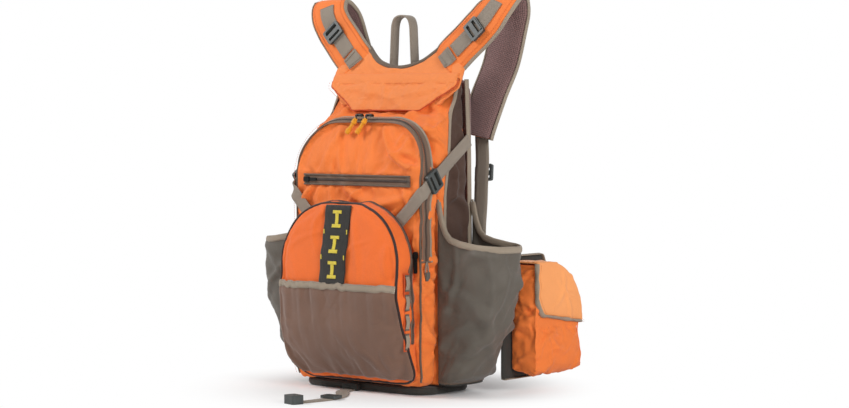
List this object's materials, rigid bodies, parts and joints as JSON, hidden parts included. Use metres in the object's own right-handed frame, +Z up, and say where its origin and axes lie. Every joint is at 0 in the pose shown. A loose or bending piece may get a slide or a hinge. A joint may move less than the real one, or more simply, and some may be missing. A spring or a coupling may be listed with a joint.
{
  "type": "hunting backpack",
  "caption": "Upland hunting backpack with arched front pockets, open side game bags, padded shoulder straps and a hip belt with flap pouches.",
  "frame": {"origin": "middle of the underside of the base, on the centre line of the body", "axes": "+Z up the back, -Y out of the front pockets, +X to the right of the pack seen from its front"},
  "size_m": [0.4816, 0.5075, 0.5992],
  "materials": {
    "orange_fabric": "coated plain-weave nylon, orange",
    "grey_fabric": "coated nylon, warm grey",
    "stretch_fabric": "brown-grey stretch fabric",
    "black_webbing": "black woven webbing",
    "yellow_thread": "yellow bar-tack thread",
    "zipper_tape": "grey coated zipper tape",
    "zipper_metal": "black painted zipper slider",
    "grey_webbing": "light grey woven webbing",
    "buckle_plastic": "dark grey acetal",
    "dark_mesh": "dark spacer mesh",
    "base_fabric": "dark coated base fabric",
    "frame_plastic": "black polyethylene sheet",
    "stay_aluminium": "flat aluminium bar"
  },
  "bodies": {
    "pack": {"main_bag": "orange_fabric", "front_pocket": "orange_fabric", "lower_pocket": "orange_fabric", "stretch_pocket": "stretch_fabric", "daisy_webbing": "black_webbing", "daisy_bar_tacks": "yellow_thread", "chest_zipper": "zipper_tape", "arch_zipper": "zipper_tape", "lower_zipper": "zipper_tape", "yoke": "orange_fabric", "shoulder_strap_left": "orange_fabric", "lifter_webbing_left": "grey_webbing", "lower_strap_webbing_left": "grey_webbing", "compression_strap_left": "grey_webbing", "side_lash_strip_left": "grey_webbing", "game_bag_left": "grey_fabric", "shoulder_strap_right": "orange_fabric", "lifter_webbing_right": "grey_webbing", "lower_strap_webbing_right": "grey_webbing", "compression_strap_right": "grey_webbing", "side_lash_strip_right": "grey_webbing", "game_bag_right": "grey_fabric", "frame_sheet": "frame_plastic", "frame_stays": "stay_aluminium", "back_panel": "dark_mesh", "back_pads": "dark_mesh", "base_panel": "base_fabric", "tail_anchor": "black_webbing", "tail_webbing": "grey_webbing", "tail_triglide": "buckle_plastic", "tail_end": "buckle_plastic"},
    "yoke_flap": {"yoke_flap": "orange_fabric"},
    "chest_slider": {"chest_slider": "zipper_metal"},
    "arch_slider_left": {"arch_slider_left": "zipper_metal"},
    "arch_slider_right": {"arch_slider_right": "zipper_metal"},
    "lower_slider": {"lower_slider": "zipper_metal"},
    "haul_loop": {"haul_loop": "grey_webbing"},
    "hip_wing_left": {"hip_wing_left": "dark_mesh", "pouch_left": "orange_fabric", "hip_webbing_left": "grey_webbing", "buckle_socket": "buckle_plastic"},
    "pouch_flap_left": {"pouch_flap_left": "orange_fabric"},
    "lifter_lock_left": {"lifter_lock_left": "buckle_plastic"},
    "compression_lock_left": {"compression_lock_left": "buckle_plastic"},
    "lower_strap_lock_left": {"lower_strap_lock_left": "buckle_plastic"},
    "hip_wing_right": {"hip_wing_right": "dark_mesh", "pouch_right": "orange_fabric", "hip_webbing_right": "grey_webbing", "buckle_plug": "buckle_plastic"},
    "pouch_flap_right": {"pouch_flap_right": "orange_fabric"},
    "lifter_lock_right": {"lifter_lock_right": "buckle_plastic"},
    "compression_lock_right": {"compression_lock_right": "buckle_plastic"},
    "lower_strap_lock_right": {"lower_strap_lock_right": "buckle_plastic"}
  },
  "joints": [
    {"name": "yoke_flap_hinge", "type": "hinge", "parent": "pack", "child": "yoke_flap", "pos_m": [0, 0.02351, 0.476], "axis": [-1, 0, 0], "range_deg": [0, 95]},
    {"name": "chest_zip", "type": "slide", "parent": "pack", "child": "chest_slider", "axis": [1, 0, 0], "range_m": [0, 0.185]},
    {"name": "arch_zip_left", "type": "slide", "parent": "pack", "child": "arch_slider_left", "axis": [-1, 0, 0], "range_m": [0, 0.036]},
    {"name": "arch_zip_right", "type": "slide", "parent": "pack", "child": "arch_slider_right", "axis": [1, 0, 0], "range_m": [0, 0.036]},
    {"name": "lower_zip", "type": "slide", "parent": "pack", "child": "lower_slider", "axis": [0, 0, -1], "range_m": [0, 0.11]},
    {"name": "haul_loop_hinge", "type": "hinge", "parent": "pack", "child": "haul_loop", "pos_m": [-0.008, 0.0673, 0.4823], "axis": [-1, 0, 0], "range_deg": [0, 70], "stiffness_Nm_per_rad": 0.05},
    {"name": "lifter_lock_right_tilt", "type": "hinge", "parent": "pack", "child": "lifter_lock_right", "pos_m": [0.15047, 0.04605, 0.55794], "axis": [-0.7072, 0.1638, 0.6878], "range_deg": [0, 30]},
    {"name": "lifter_lock_left_tilt", "type": "hinge", "parent": "pack", "child": "lifter_lock_left", "pos_m": [-0.15047, 0.04605, 0.55794], "axis": [-0.7072, -0.1638, -0.6878], "range_deg": [0, 30]},
    {"name": "lower_strap_lock_right_tilt", "type": "hinge", "parent": "pack", "child": "lower_strap_lock_right", "pos_m": [0.12062, 0.09162, 0.34343], "axis": [0.9883, 0.0386, 0.1476], "range_deg": [0, 30]},
    {"name": "lower_strap_lock_left_tilt", "type": "hinge", "parent": "pack", "child": "lower_strap_lock_left", "pos_m": [-0.12062, 0.09162, 0.34343], "axis": [0.9883, -0.0386, -0.1476], "range_deg": [0, 30]},
    {"name": "compression_lock_right_tilt", "type": "hinge", "parent": "pack", "child": "compression_lock_right", "pos_m": [0.1306, -0.03332, 0.32897], "axis": [0, -0.5701, 0.8216], "range_deg": [0, 30]},
    {"name": "compression_lock_left_tilt", "type": "hinge", "parent": "pack", "child": "compression_lock_left", "pos_m": [-0.1306, -0.03332, 0.32897], "axis": [0, 0.5701, -0.8216], "range_deg": [0, 30]},
    {"name": "hip_wing_right_hinge", "type": "hinge", "parent": "pack", "child": "hip_wing_right", "pos_m": [0.184, 0.0593, 0.113], "axis": [0, 0, 1], "range_deg": [-15, 30]},
    {"name": "pouch_flap_right_hinge", "type": "hinge", "parent": "hip_wing_right", "child": "pouch_flap_right", "pos_m": [0.1893, 0.125, 0.1995], "axis": [0, -1, 0], "range_deg": [0, 88]},
    {"name": "hip_wing_left_hinge", "type": "hinge", "parent": "pack", "child": "hip_wing_left", "pos_m": [-0.184, 0.0593, 0.113], "axis": [0, 0, -1], "range_deg": [-15, 30]},
    {"name": "pouch_flap_left_hinge", "type": "hinge", "parent": "hip_wing_left", "child": "pouch_flap_left", "pos_m": [-0.1893, 0.125, 0.1995], "axis": [0, 1, 0], "range_deg": [0, 88]}
  ]
}
